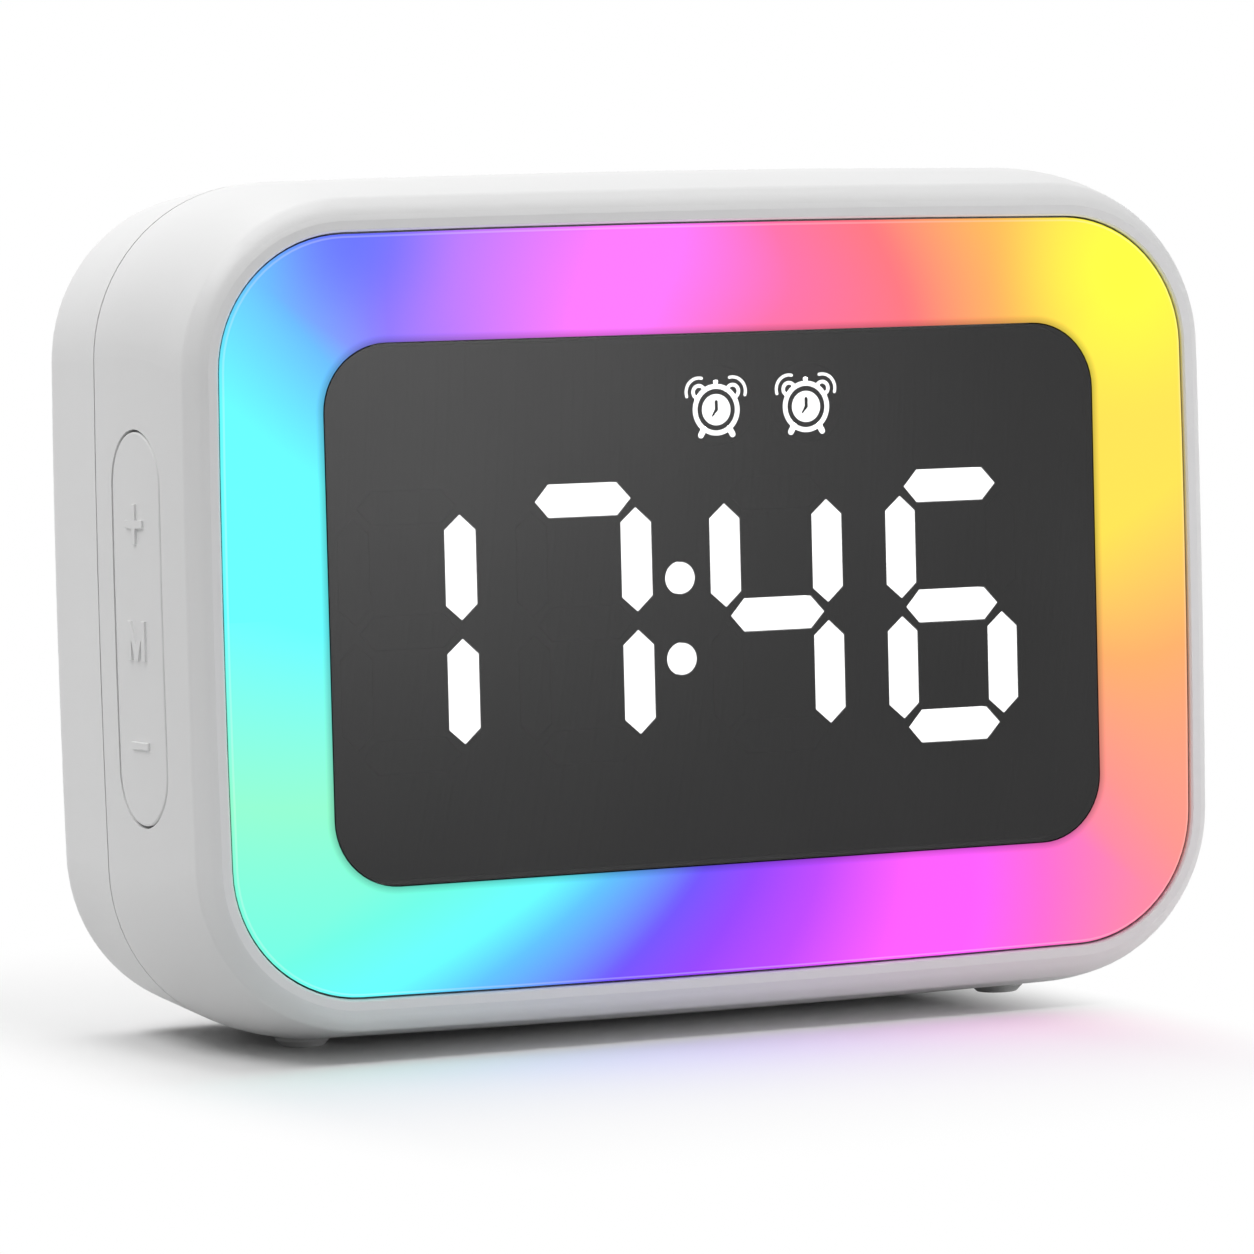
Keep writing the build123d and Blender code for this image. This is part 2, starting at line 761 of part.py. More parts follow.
# White reflector between the light panel and the front board
with BuildPart() as reflector_frame:
    extrude(
        rounded_outline(front_board_depth, frame_width, frame_height, frame_corner),
        amount=front_board_depth - ledge_back,
    )
    trough = rounded_outline(
        front_board_depth - frame_floor, frame_width - 2 * frame_wall, frame_height - 2 * frame_wall,
        frame_corner - frame_wall,
    )
    extrude(trough, amount=front_board_depth - frame_floor - ledge_back, mode=Mode.SUBTRACT)
    sleeve = rounded_outline(
        front_board_depth, sleeve_width + 2 * frame_wall, sleeve_height + 2 * frame_wall,
        sleeve_corner + frame_wall,
    )
    extrude(sleeve, amount=front_board_depth - panel_thickness - slip_gap)
    sleeve_bore = rounded_outline(front_board_depth, sleeve_width, sleeve_height, sleeve_corner)
    extrude(sleeve_bore, amount=front_board_depth - panel_thickness, mode=Mode.SUBTRACT)
    with BuildSketch(front_plane(front_board_depth)) as led_windows:
        with Locations(*ring_led_places):
            Rectangle(ring_led_size + 2 * slip_gap, ring_led_size + 2 * slip_gap)
    extrude(led_windows.sketch, amount=frame_floor, mode=Mode.SUBTRACT)
write(reflector_frame, "reflector_frame")

# Front board with screw ears
with BuildPart() as front_board:
    board_outline = rounded_outline(
        front_board_back, frame_width - 2 * board_margin, frame_height - 2 * board_margin, frame_corner
    )
    extrude(board_outline, amount=board_thickness)
    extrude(discs(front_board_back, ear_radius, ear_places), amount=board_thickness)
    neck_length = ear_rise - frame_height / 2 + board_margin + ear_radius
    for x, rise in ear_places:
        neck_rise = rise - neck_length / 2 if rise > 0 else rise + neck_length / 2
        neck = plain_outline(front_board_back, 2 * ear_radius, neck_length, x, neck_rise)
        extrude(neck, amount=board_thickness)
    ear_holes = discs(front_board_back, board_screw_radius + slip_gap, ear_places)
    extrude(ear_holes, amount=board_thickness, mode=Mode.SUBTRACT)
write(front_board, "front_board")

with BuildPart() as ring_leds:
    with BuildSketch(front_plane(front_board_depth)):
        with Locations(*ring_led_places):
            Rectangle(ring_led_size, ring_led_size)
    extrude(amount=ring_led_height)
write(ring_leds, "ring_leds")

with BuildPart() as segment_leds:
    with BuildSketch(front_plane(front_board_depth)):
        with Locations(*[(x, rise) for x, rise, turned in lit_places + unlit_places]):
            Rectangle(segment_led_size, segment_led_size)
        with Locations(*colon_places, *icon_places):
            Rectangle(segment_led_size, segment_led_size)
    extrude(amount=segment_led_height)
write(segment_leds, "segment_leds")

with BuildPart() as front_board_screws:
    for x, rise in ear_places:
        turn(
            screw_points(
                front_board_back, board_screw_head_radius, board_screw_head_height,
                board_screw_radius, -board_screw_length,
            ),
            x, rise,
        )
write(front_board_screws, "front_board_screws")

# Key strip: its face is the housing's own skin, with a lip and three nubs inside
with BuildPart() as key_strip:
    housing_skin()
    extrude(key_slot(key_lip_outer, 0), amount=body_width / 4, mode=Mode.INTERSECT)
    fillet(key_strip.faces().sort_by(Axis.X)[0].edges(), key_edge)
    extrude(key_slot(key_lip_inner, key_lip), amount=key_lip_thickness)
    extrude(key_discs(nub_tip, nub_radius, key_places.values()), amount=nub_length)
write(key_strip, "key_strip")

# Key board in the housing's rails, with low switches
with BuildPart() as key_board:
    with BuildSketch(side_plane(key_board_face + key_board_thickness)):
        Rectangle(key_board_width, key_board_length)
    extrude(amount=key_board_thickness)
write(key_board, "key_board")

with BuildPart() as key_switches:
    with BuildSketch(side_plane(key_board_face)):
        with Locations(*[(0, place) for place in key_places.values()]):
            Rectangle(switch_size, switch_size)
    extrude(amount=switch_height)
    bores = key_discs(switch_face, plunger_radius + switch_bore_gap, key_places.values())
    extrude(bores, amount=-(plunger_length - plunger_reach + key_travel + slip_gap), mode=Mode.SUBTRACT)
write(key_switches, "key_switches")

for key, place in key_places.items():
    with BuildPart() as plunger:
        extrude(key_discs(plunger_tip + plunger_length, plunger_radius, [place]), amount=plunger_length)
    write(plunger, f"{key}_plunger")

# Loudspeaker, from the gasket inward
with BuildPart() as speaker_gasket:
    turn(ring_points(surround_back, gasket_back, speaker_opening, speaker_radius))
    extrude(speaker_holes(gasket_back, slip_gap), amount=gasket_thickness, mode=Mode.SUBTRACT)
write(speaker_gasket, "speaker_gasket")

with BuildPart() as speaker_surround:
    roll_inner = cone_radius + cone_flex_gap
    roll_middle = (roll_inner + speaker_opening) / 2
    with BuildSketch(axial_plane(0, speaker_rise)) as roll:
        with BuildLine():
            ThreePointArc(
                (flange_back, roll_inner),
                (flange_back + surround_roll, roll_middle),
                (flange_back, speaker_opening),
            )
            Polyline(
                (flange_back, speaker_opening), (flange_back, speaker_radius),
                (surround_back, speaker_radius), (surround_back, speaker_opening),
            )
            ThreePointArc(
                (surround_back, speaker_opening),
                (surround_back + surround_roll, roll_middle),
                (surround_back, roll_inner),
            )
            Line((surround_back, roll_inner), (flange_back, roll_inner))
        make_face()
    revolve(roll.sketch.faces(), axis=depth_axis(0, speaker_rise))
    extrude(speaker_holes(surround_back, slip_gap), amount=surround_rim, mode=Mode.SUBTRACT)
write(speaker_surround, "speaker_surround")

with BuildPart() as speaker_basket:
    turn([
        (flange_back, speaker_opening), (flange_back, speaker_radius), (flange_front, speaker_radius),
        (flange_front, speaker_opening + basket_skin), (basket_floor, basket_throat + basket_skin),
        (basket_floor, basket_bore), (basket_floor + basket_skin, basket_bore),
        (basket_floor + basket_skin, basket_throat), (flange_front, speaker_opening),
    ])
    extrude(speaker_holes(flange_back, slip_gap), amount=flange_thickness, mode=Mode.SUBTRACT)
    window_middle = (flange_front + basket_floor + basket_skin) / 2
    speaker_centre = depth_axis(0, speaker_rise).position
    for facing in ((1, 0, 0), (0, 0, 1)):
        with BuildSketch(Plane(speaker_centre, x_dir=(0, 1, 0), z_dir=facing)) as side_windows:
            with Locations((window_middle - body_depth / 2, 0)):
                RectangleRounded(basket_window_depth, basket_window_width, basket_window_depth / 4)
        extrude(side_windows.sketch, amount=speaker_radius, both=True, mode=Mode.SUBTRACT)
write(speaker_basket, "speaker_basket")

with BuildPart() as speaker_top_plate:
    turn(ring_points(top_plate_front, basket_floor, top_plate_bore, basket_throat))
write(speaker_top_plate, "speaker_top_plate")

with BuildPart() as speaker_magnet:
    turn(ring_points(magnet_front, top_plate_front, magnet_bore, magnet_radius))
write(speaker_magnet, "speaker_magnet")

with BuildPart() as speaker_yoke:
    turn([
        (yoke_front, 0), (yoke_front, basket_throat), (magnet_front, basket_throat),
        (magnet_front, pole_radius), (pole_end, pole_radius), (pole_end, 0),
    ])
write(speaker_yoke, "speaker_yoke")

with BuildPart() as speaker_spider:
    spider_back = basket_floor + basket_skin
    spider_inner = winding_radius + cone_flex_gap
    spider_outer = basket_throat - slip_gap
    spider_fold = spider_outer - spider_rim
    spider_crest = (spider_inner + spider_fold) / 2
    turn([
        (spider_back, spider_outer), (spider_back, spider_fold), (spider_back + spider_wave, spider_crest),
        (spider_back, spider_inner), (spider_back + spider_skin, spider_inner),
        (spider_back + spider_wave + spider_skin, spider_crest), (spider_back + spider_skin, spider_fold),
        (spider_back + spider_skin, spider_outer),
    ])
write(speaker_spider, "speaker_spider")

# Moving parts of the loudspeaker
with BuildPart() as voice_coil:
    coil_back = cone_neck_depth + cone_skin
    coil_front = top_plate_front - coil_overhang
    winding_middle = (top_plate_front + basket_floor) / 2
    winding_front = winding_middle - winding_length / 2
    winding_back = winding_middle + winding_length / 2
    turn([
        (coil_front, coil_inner_radius), (coil_front, coil_outer_radius),
        (winding_front, coil_outer_radius), (winding_front, winding_radius),
        (winding_back, winding_radius), (winding_back, coil_outer_radius),
        (coil_back, coil_outer_radius), (coil_back, coil_inner_radius),
    ])
write(voice_coil, "voice_coil")

with BuildPart() as speaker_cone:
    neck_radius = coil_outer_radius + screw_gap
    turn([
        (cone_neck_depth, neck_radius), (cone_edge_depth, cone_radius),
        (cone_edge_depth + cone_skin, cone_radius), (cone_neck_depth + cone_skin, neck_radius),
    ])
write(speaker_cone, "speaker_cone")

with BuildPart() as dust_cap:
    cone_slope = cone_rise / (cone_radius - neck_radius)
    cap_base = cone_neck_depth + cone_skin + cone_slope * (dust_cap_radius - neck_radius) + screw_gap
    cap_top = cap_base + dust_cap_rise
    cap_sphere = (dust_cap_radius**2 + dust_cap_rise**2) / (2 * dust_cap_rise)
    cap_middle = cap_top - cap_sphere + (cap_sphere**2 - dust_cap_radius**2 / 4) ** 0.5
    bowl_radius = dust_cap_radius - 2 * dust_cap_skin
    bowl_rise = dust_cap_rise - dust_cap_skin
    bowl_top = cap_base + bowl_rise
    bowl_sphere = (bowl_radius**2 + bowl_rise**2) / (2 * bowl_rise)
    bowl_middle = bowl_top - bowl_sphere + (bowl_sphere**2 - bowl_radius**2 / 4) ** 0.5
    with BuildSketch(axial_plane(0, speaker_rise)) as dome:
        with BuildLine():
            ThreePointArc((cap_base, bowl_radius), (bowl_middle, bowl_radius / 2), (bowl_top, 0))
            Line((bowl_top, 0), (cap_top, 0))
            ThreePointArc((cap_top, 0), (cap_middle, dust_cap_radius / 2), (cap_base, dust_cap_radius))
            Line((cap_base, dust_cap_radius), (cap_base, bowl_radius))
        make_face()
    revolve(dome.sketch.faces(), axis=depth_axis(0, speaker_rise))
write(dust_cap, "dust_cap")

with BuildPart() as speaker_screws:
    for index in range(speaker_screw_count):
        place = Vector(speaker_screw_reach, 0).rotate(Axis.Z, 45 + 360 * index / speaker_screw_count)
        turn(
            screw_points(
                flange_front, board_screw_head_radius, board_screw_head_height,
                board_screw_radius, speaker_screw_length,
            ),
            place.X, speaker_rise + place.Y,
        )
write(speaker_screws, "speaker_screws")

# Main board on the cover's standoffs
with BuildPart() as main_board:
    extrude(
        plain_outline(main_board_back, main_board_width, main_board_height, 0, main_board_rise),
        amount=board_thickness,
    )
    board_holes = discs(main_board_back, board_screw_radius + slip_gap, standoff_places)
    extrude(board_holes, amount=board_thickness, mode=Mode.SUBTRACT)
write(main_board, "main_board")

half_board = main_board_width / 2
chip_sizes = {
    "processor": (processor_size, processor_size, processor_height),
    "amplifier": (amplifier_width, amplifier_length, amplifier_height),
    "module": (module_width, module_length, module_height),
}
chip_names = {"processor": "processor_chip", "amplifier": "amplifier_chip", "module": "wireless_module"}
for chip, (width, length, height) in chip_sizes.items():
    with BuildPart() as chip_body:
        place = chip_shares[chip] * half_board
        extrude(plain_outline(main_board_depth, width, length, place, main_board_rise), amount=height)
    write(chip_body, chip_names[chip])

with BuildPart() as capacitors:
    capacitor_step = 2 * capacitor_radius + capacitor_gap
    places = [(capacitor_share * half_board - index * capacitor_step, main_board_rise) for index in range(2)]
    extrude(discs(main_board_depth, capacitor_radius, places), amount=capacitor_height)
write(capacitors, "capacitors")

with BuildPart() as wire_connectors:
    for share in connector_shares:
        connector = plain_outline(
            main_board_depth, connector_width, connector_length,
            share * half_board, main_board_rise + connector_offset,
        )
        extrude(connector, amount=connector_height)
write(wire_connectors, "wire_connectors")

with BuildPart() as main_board_screws:
    for x, rise in standoff_places:
        turn(
            screw_points(
                main_board_depth, board_screw_head_radius, board_screw_head_height,
                board_screw_radius, board_screw_length,
            ),
            x, rise,
        )
write(main_board_screws, "main_board_screws")

# Upright power socket that reaches through the cover
with BuildPart() as usb_socket:
    with BuildSketch(front_plane(usb_mouth, rise=main_board_rise)) as socket_shell:
        SlotOverall(usb_width, usb_height)
    extrude(socket_shell.sketch, amount=usb_mouth - main_board_back)
    with BuildSketch(front_plane(usb_mouth, rise=main_board_rise)) as socket_bore:
        SlotOverall(usb_width - 2 * usb_skin, usb_height - 2 * usb_skin)
    extrude(socket_bore.sketch, amount=usb_cavity, mode=Mode.SUBTRACT)
    tongue_root_depth = usb_mouth - usb_cavity + usb_tongue_length
    extrude(
        plain_outline(tongue_root_depth, usb_tongue_width, usb_tongue_height, 0, main_board_rise),
        amount=usb_tongue_length,
    )
write(usb_socket, "usb_socket")

# Round cell in its cradle
with BuildPart() as battery_holder:
    holder_width = 2 * (cell_radius + cell_gap_round + holder_wall)
    cradle = plain_outline(cover_inner, holder_width, holder_length, cell_x, 0)
    extrude(cradle, amount=cover_inner - cell_depth)
    trough_length = holder_length - 2 * holder_wall
    with BuildSketch(floor_plane(centre_height - trough_length / 2, cell_x, cell_depth)) as trough_end:
        Circle(cell_radius + cell_gap_round)
    extrude(trough_end.sketch, amount=trough_length, mode=Mode.SUBTRACT)
write(battery_holder, "battery_holder")

with BuildPart() as battery_cell:
    cell_bottom = centre_height - (cell_length + cell_cap_height) / 2
    with BuildSketch(floor_plane(cell_bottom, cell_x, cell_depth)) as cell_end:
        Circle(cell_radius)
    extrude(cell_end.sketch, amount=cell_length)
    with BuildSketch(floor_plane(cell_bottom + cell_length, cell_x, cell_depth)) as cap_end:
        Circle(cell_cap_radius)
    extrude(cap_end.sketch, amount=cell_cap_height)
write(battery_cell, "battery_cell")

# Long screws that draw the cover against the housing
with BuildPart() as cover_screws:
    for x, rise in post_places:
        turn(
            screw_points(
                cover_screw_seat, cover_screw_head_radius, cover_screw_head_height,
                cover_screw_radius, -cover_screw_length,
            ),
            x, rise,
        )
write(cover_screws, "cover_screws")
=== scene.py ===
import bmesh
import bpy
import json
import math
from mathutils import Matrix, Vector
from mathutils.bvhtree import BVHTree


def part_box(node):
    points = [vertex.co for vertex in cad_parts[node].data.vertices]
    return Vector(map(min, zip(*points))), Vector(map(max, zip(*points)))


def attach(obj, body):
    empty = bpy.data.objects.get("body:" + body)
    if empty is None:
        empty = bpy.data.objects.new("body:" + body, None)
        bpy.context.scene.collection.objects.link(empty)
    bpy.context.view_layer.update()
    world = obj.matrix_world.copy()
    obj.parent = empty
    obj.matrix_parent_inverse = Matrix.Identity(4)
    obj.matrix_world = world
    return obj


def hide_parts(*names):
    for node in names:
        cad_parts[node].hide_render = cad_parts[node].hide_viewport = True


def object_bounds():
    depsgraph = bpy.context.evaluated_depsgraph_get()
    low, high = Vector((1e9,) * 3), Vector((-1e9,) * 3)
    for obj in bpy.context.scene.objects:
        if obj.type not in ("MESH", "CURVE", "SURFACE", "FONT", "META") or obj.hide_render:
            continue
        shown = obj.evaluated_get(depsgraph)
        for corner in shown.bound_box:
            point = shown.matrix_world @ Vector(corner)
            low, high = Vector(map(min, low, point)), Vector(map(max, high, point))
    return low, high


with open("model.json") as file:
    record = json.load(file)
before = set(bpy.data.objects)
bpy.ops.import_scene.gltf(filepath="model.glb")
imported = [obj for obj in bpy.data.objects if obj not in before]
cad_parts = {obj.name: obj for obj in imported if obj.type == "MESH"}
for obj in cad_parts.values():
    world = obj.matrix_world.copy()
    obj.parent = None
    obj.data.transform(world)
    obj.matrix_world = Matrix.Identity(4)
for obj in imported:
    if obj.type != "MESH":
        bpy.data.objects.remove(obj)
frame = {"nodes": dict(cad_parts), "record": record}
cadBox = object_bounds()
nodes = frame["nodes"]
print("frame loaded:", len(nodes), "nodes")

mm = 0.001
lensLow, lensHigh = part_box("display_lens")
displayFront = lensLow.y
displayMiddle = (lensLow.z + lensHigh.z) / 2


def spot(x, depth, rise):
    # millimetres across, back from the lens's front and up from its middle
    return Vector((x * mm, displayFront + depth * mm, displayMiddle + rise * mm))


def toLinear(colour):
    return tuple(c / 12.92 if c <= 0.04045 else ((c + 0.055) / 1.055) ** 2.4 for c in colour) + (1.0,)


def grey(level):
    return toLinear((level, level, level))


# camera, fitted to the photograph's edges

cameraSetup = {
    "place": (-0.3348, -0.72755, 0.09375),
    "yaw": 24.62,
    "pitch": -3.26,
    "roll": -1.44,
    "lens": 186.6,
    "sensor": 36.0,
    "nearest": 0.01,
}


def aimCamera(setup):
    yaw, pitch, roll = (math.radians(setup[key]) for key in ("yaw", "pitch", "roll"))
    level = math.cos(pitch)
    forward = Vector((math.sin(yaw) * level, math.cos(yaw) * level, math.sin(pitch)))
    right = Vector((math.cos(yaw), -math.sin(yaw), 0))
    up = right.cross(forward)
    across = right * math.cos(roll) + up * math.sin(roll)
    upright = up * math.cos(roll) - right * math.sin(roll)
    camera = bpy.data.objects.new("camera", bpy.data.cameras.new("camera"))
    camera.data.lens = setup["lens"]
    camera.data.sensor_width = setup["sensor"]
    camera.data.clip_start = setup["nearest"]
    placed = Matrix((across, upright, -forward)).transposed().to_4x4()
    placed.translation = Vector(setup["place"])
    camera.matrix_world = placed
    bpy.context.scene.collection.objects.link(camera)
    bpy.context.scene.camera = camera


aimCamera(cameraSetup)
print("camera aimed")


# material nodes: sums and products of wires become Math nodes

class Wire:
    def __init__(self, tree, socket=None):
        self.tree = tree
        self.socket = socket

    def node(self, kind, settings=None, inputs=None, out=0):
        made = self.tree.nodes.new(kind)
        for key, value in (settings or {}).items():
            if key == "stops":
                ramp = made.color_ramp.elements
                while len(ramp) < len(value):
                    ramp.new(1.0)
                for element, (place, colour) in zip(ramp, value):
                    element.position = place
                    element.color = colour
            else:
                setattr(made, key, value)
        for key, value in (inputs or {}).items():
            if isinstance(value, Wire):
                self.tree.links.new(value.socket, made.inputs[key])
            else:
                made.inputs[key].default_value = value
        return Wire(self.tree, made.outputs[out] if len(made.outputs) else None)

    def math(self, operation, first, second=0.0):
        return self.node("ShaderNodeMath", {"operation": operation}, {0: first, 1: second})

    def __add__(self, other):
        return self.math("ADD", self, other)

    def __radd__(self, other):
        return self.math("ADD", other, self)

    def __sub__(self, other):
        return self.math("SUBTRACT", self, other)

    def __rsub__(self, other):
        return self.math("SUBTRACT", other, self)

    def __mul__(self, other):
        return self.math("MULTIPLY", self, other)

    def __rmul__(self, other):
        return self.math("MULTIPLY", other, self)

    def __truediv__(self, other):
        return self.math("DIVIDE", self, other)

    def __rtruediv__(self, other):
        return self.math("DIVIDE", other, self)


def newPaint(name):
    material = bpy.data.materials.new(name)
    material.use_nodes = True
    material.node_tree.nodes.clear()
    wire = Wire(material.node_tree)
    return material, wire, wire.node("ShaderNodeTexCoord", out="Object")


def surfaced(wire, sockets):
    shader = wire.node("ShaderNodeBsdfPrincipled", None, sockets)
    wire.node("ShaderNodeOutputMaterial", None, {"Surface": shader})


def axisOf(wire, vector, axis):
    return wire.node("ShaderNodeSeparateXYZ", None, {0: vector}, out=axis)


def ranged(wire, value, start, end, low=0.0, high=1.0, shape="LINEAR"):
    return wire.node("ShaderNodeMapRange", {"interpolation_type": shape},
                     {0: value, 1: start, 2: end, 3: low, 4: high})


def beyond(wire, place, axis, middle, half):
    # how far a place lies outside a band about the middle
    offset = wire.math("ABSOLUTE", axisOf(wire, place, axis) - middle)
    return wire.math("MAXIMUM", offset - half, 0.0)


def diagonal(wire, first, second):
    return wire.math("SQRT", first * first + second * second)


def mixColours(wire, factor, first, second):
    return wire.node("ShaderNodeMix", {"data_type": "RGBA"}, {0: factor, 6: first, 7: second}, out=2)


def noise(wire, place, scale, detail=2.0):
    return wire.node("ShaderNodeTexNoise", None, {"Vector": place, "Scale": scale, "Detail": detail})


def bands(wire, place, direction, scale):
    return wire.node("ShaderNodeTexWave", {"bands_direction": direction},
                     {"Vector": place, "Scale": scale})


def stretched(wire, place, scale):
    return wire.node("ShaderNodeMapping", None, {"Vector": place, "Scale": scale})


def bumped(wire, height, depth, under=None):
    sockets = {"Height": height, "Distance": depth * mm}
    if under:
        sockets["Normal"] = under
    return wire.node("ShaderNodeBump", None, sockets)


def tones(look):
    # a grey look gives a tone and its spread, a coloured one its dark and light
    if "tone" in look:
        return grey(look["tone"] - look["spread"]), grey(look["tone"] + look["spread"])
    return toLinear(look["dark"]), toLinear(look["light"])


def uneven(look, cloud):
    # roughness, with a swing to both sides
    return look["roughness"] - look["swing"] / 2 + look["swing"] * cloud


# what a moulded or brushed look has unless its slot says otherwise

mouldedUsual = {"spread": 0.02, "swing": 0.1, "cloudScale": 60, "grainScale": 2600, "grainDepth": 0.01,
                "specular": 0.5}
brushedUsual = {"swing": 0.16, "cloudScale": 90, "lineScale": 400, "lineDepth": 0.006}


def mouldedFinish(name, look):
    # cloudy tone, uneven gloss and a fine moulded grain
    look = {**mouldedUsual, **look}
    material, wire, place = newPaint(name)
    cloud = noise(wire, place, look["cloudScale"], detail=3.0)
    grain = noise(wire, place, look["grainScale"])
    under = None
    if "crease" in look:  # keeps the edge between bevel and wall crisp
        crease = look["crease"]
        start, end = (displayFront + crease[key] * mm for key in ("start", "end"))
        under = bumped(wire, ranged(wire, axisOf(wire, place, 1), start, end), crease["lift"])
    surfaced(wire, {
        "Base Color": mixColours(wire, cloud, *tones(look)),
        "Roughness": uneven(look, grain),
        "Normal": bumped(wire, grain, look["grainDepth"], under),
        "Specular IOR Level": look["specular"],
    })
    return material


def brushedFinish(name, look):
    # metal with fine lines drawn along one direction
    look = {**brushedUsual, **look}
    material, wire, place = newPaint(name)
    lines = noise(wire, stretched(wire, place, look["drawn"]), look["lineScale"], detail=3.0)
    cloud = noise(wire, place, look["cloudScale"])
    surfaced(wire, {
        "Base Color": mixColours(wire, lines, *tones(look)),
        "Metallic": 1.0,
        "Roughness": uneven(look, cloud),
        "Normal": bumped(wire, lines, look["lineDepth"]),
    })
    return material


def boardFinish(name, look):
    # solder mask over copper tracks
    material, wire, place = newPaint(name)
    cells = wire.node("ShaderNodeTexVoronoi", {"feature": "DISTANCE_TO_EDGE"},
                      {"Vector": place, "Scale": look["trackScale"]})
    track = wire.math("LESS_THAN", cells, look["trackWidth"])
    cloud = noise(wire, place, look["cloudScale"], detail=3.0)
    mask = mixColours(wire, cloud, *tones(look))
    surfaced(wire, {
        "Base Color": mixColours(wire, track, mask, toLinear(look["track"])),
        "Roughness": uneven(look, cloud),
        "Normal": bumped(wire, track, look["trackDepth"]),
    })
    return material


def weaveFinish(name, look):
    # crossed threads
    material, wire, place = newPaint(name)
    weave = bands(wire, place, "X", look["threads"]) * bands(wire, place, "Z", look["threads"])
    surfaced(wire, {
        "Base Color": mixColours(wire, weave, *tones(look)),
        "Roughness": uneven(look, weave),
        "Normal": bumped(wire, weave, look["threadDepth"]),
    })
    return material


def windingFinish(name, look):
    # turns of enamelled wire side by side
    material, wire, place = newPaint(name)
    turns = bands(wire, place, "Y", look["turns"])
    surfaced(wire, {
        "Base Color": mixColours(wire, turns, *tones(look)),
        "Metallic": look["metallic"],
        "Roughness": uneven(look, turns),
        "Normal": bumped(wire, turns, look["turnDepth"]),
    })
    return material


# light panel: a run of colours round the border

panelLook = {
    "halfWidth": 57.4,  # mm, middle of the border
    "halfHeight": 38.5,
    "glow": 1.0,
    "specular": 0.07,
    "roughness": 0.35, "swing": 0.1, "grainScale": 1800, "grainDepth": 0.003,
    "base": 0.03, "baseShare": 0.93,  # the plastic itself stays dark, so that the light shows
    "sides": (0.05, 0.35),  # how far a face turns to the front before it glows
    # painted highlight: a pale line on the rolled edge, mixed into the glow
    "paintedHighlight": 0.16, "highlightStart": (0.95, 0.92), "highlightEnd": (0.72, 0.80),
    "lag": 0.08,  # the colours lean along the border, and the other way at the upper right
    "turnOver": {"upShare": 0.6, "start": 0.45, "end": 1.0, "weight": 2.2},
    "patches": [
        {"x": 56.0, "rise": 38.0, "reach": 20.0, "weight": 1.0, "hue": "yellow"},
        {"x": -47.0, "rise": 44.5, "reach": 15.0, "weight": 0.8, "hue": "cobalt"},
    ],
    # painted shade: the glow is darkened beside the window
    "shade": {"corner": 8.0, "reach": 1.1, "weight": 0.5},  # beside the window
    "hues": {
        "cyan": (0.40, 0.99, 1.00), "cobalt": (0.38, 0.42, 1.00), "sky": (0.41, 0.74, 1.00),
        "violet": (0.56, 0.47, 1.00), "orchid": (1.00, 0.47, 1.00), "rose": (1.00, 0.44, 0.66),
        "coral": (1.00, 0.46, 0.49), "amber": (1.00, 0.72, 0.35), "yellow": (1.00, 0.99, 0.25),
        "gold": (1.00, 0.88, 0.32), "apricot": (1.00, 0.68, 0.41), "salmon": (1.00, 0.58, 0.55),
        "blush": (1.00, 0.53, 0.64), "pink": (1.00, 0.42, 0.82), "magenta": (1.00, 0.36, 1.00),
        "grape": (0.74, 0.28, 1.00), "purple": (0.58, 0.27, 1.00), "indigo": (0.44, 0.33, 1.00),
        "azure": (0.37, 0.75, 1.00), "aqua": (0.43, 0.99, 0.89), "mint": (0.57, 0.99, 0.81),
    },
    # share of a turn, clockwise from the middle of the left side
    "run": [
        (0.0, "cyan"), (0.075, "cyan"), (0.125, "sky"), (0.147, "violet"), (0.206, "orchid"),
        (0.23, "orchid"), (0.278, "rose"), (0.314, "coral"), (0.346, "amber"), (0.372, "gold"),
        (0.465, "gold"), (0.54, "apricot"), (0.603, "salmon"), (0.626, "blush"), (0.647, "pink"),
        (0.667, "magenta"), (0.687, "magenta"), (0.722, "grape"), (0.75, "purple"), (0.775, "indigo"),
        (0.812, "azure"), (0.834, "cyan"), (0.868, "aqua"), (0.917, "mint"), (1.0, "cyan"),
    ],
}


def borderColours(wire, place, look):
    across = axisOf(wire, place, 0) / (look["halfWidth"] * mm)
    up = (axisOf(wire, place, 2) - displayMiddle) / (look["halfHeight"] * mm)
    outward = wire.math("MAXIMUM", wire.math("ABSOLUTE", across), wire.math("ABSOLUTE", up)) - 1.0
    flip = look["turnOver"]
    over = ranged(wire, across + up * flip["upShare"], flip["start"], flip["end"], shape="SMOOTHSTEP")
    lean = look["lag"] * (1.0 - flip["weight"] * over) * outward
    turn = 0.5 - wire.math("ARCTAN2", up, across) / (2 * math.pi) - lean
    stops = [(share, toLinear(look["hues"][hue])) for share, hue in look["run"]]
    colours = wire.node("ShaderNodeValToRGB", {"stops": stops}, {0: turn})
    for patch in look["patches"]:
        away = wire.node("ShaderNodeVectorMath", {"operation": "DISTANCE"},
                         {0: place, 1: spot(patch["x"], 0, patch["rise"])}, out="Value")
        near = ranged(wire, away, patch["reach"] * mm, 0.0, high=patch["weight"], shape="SMOOTHSTEP")
        colours = mixColours(wire, near, colours, toLinear(look["hues"][patch["hue"]]))
    return colours


# painted shade: the glow darkens towards the window's edge over the given reach
def paintedWindowShade(wire, place, look):
    corner = look["corner"] * mm
    pastX = beyond(wire, place, 0, 0.0, lensHigh.x - corner)
    pastZ = beyond(wire, place, 2, displayMiddle, lensHigh.z - displayMiddle - corner)
    fromWindow = diagonal(wire, pastX, pastZ) - corner
    return ranged(wire, fromWindow, 0.0, look["reach"] * mm, look["weight"], 0.0)


